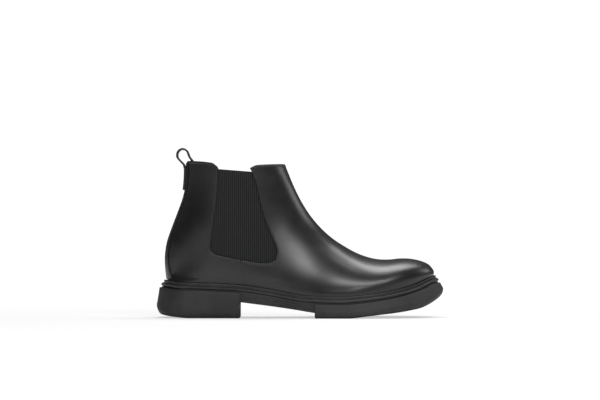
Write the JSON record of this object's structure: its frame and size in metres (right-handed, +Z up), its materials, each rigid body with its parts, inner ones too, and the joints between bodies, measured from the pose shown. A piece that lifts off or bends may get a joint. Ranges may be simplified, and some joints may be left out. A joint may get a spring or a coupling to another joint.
{
  "type": "ankle boot",
  "caption": "Elastic-sided ankle boot for the right foot, with a pull loop, a welted rubber sole, a stacked heel and a separate forefoot tread.",
  "frame": {"origin": "on the ground, midway along and across the outsole's bounding box", "axes": "+X towards the toe, -Y towards the outer (lateral) side of the foot, +Z up"},
  "size_m": [0.3009, 0.1111, 0.1776],
  "materials": {
    "leather": "semi-gloss smooth",
    "elastic": "ribbed matte",
    "stiffener": "matte fibre",
    "lining": "matte",
    "footbed": "matte",
    "foam": "matte foam",
    "board": "matte fibre board",
    "cork": "granular cork",
    "steel": "plain",
    "thread": "waxed",
    "rubber": "matte"
  },
  "bodies": {
    "boot": {"vamp": "leather", "quarter_lateral": "leather", "quarter_medial": "leather", "back_strip": "leather", "pull_strap_tail": "leather", "pull_strap_root": "leather", "gore_lateral": "elastic", "gore_medial": "elastic", "toe_puff": "stiffener", "heel_counter": "stiffener", "vamp_lining": "lining", "quarter_lining": "lining", "footbed": "footbed", "heel_pad": "foam", "insole_board": "board", "shank": "steel", "shank_rivets": "steel", "bottom_filler": "cork", "welt": "rubber", "welt_thread": "thread", "midsole": "rubber", "forefoot_tread": "rubber", "heel_block": "rubber", "heel_nails": "steel"},
    "pull_loop": {"pull_loop": "leather"}
  },
  "joints": [
    {"name": "pull_loop_fold", "type": "hinge", "parent": "boot", "child": "pull_loop", "pos_m": [-0.1213, 0, 0.1569], "axis": [0, 1, 0], "range_deg": [-70, 8], "stiffness_Nm_per_rad": 0.004}
  ]
}
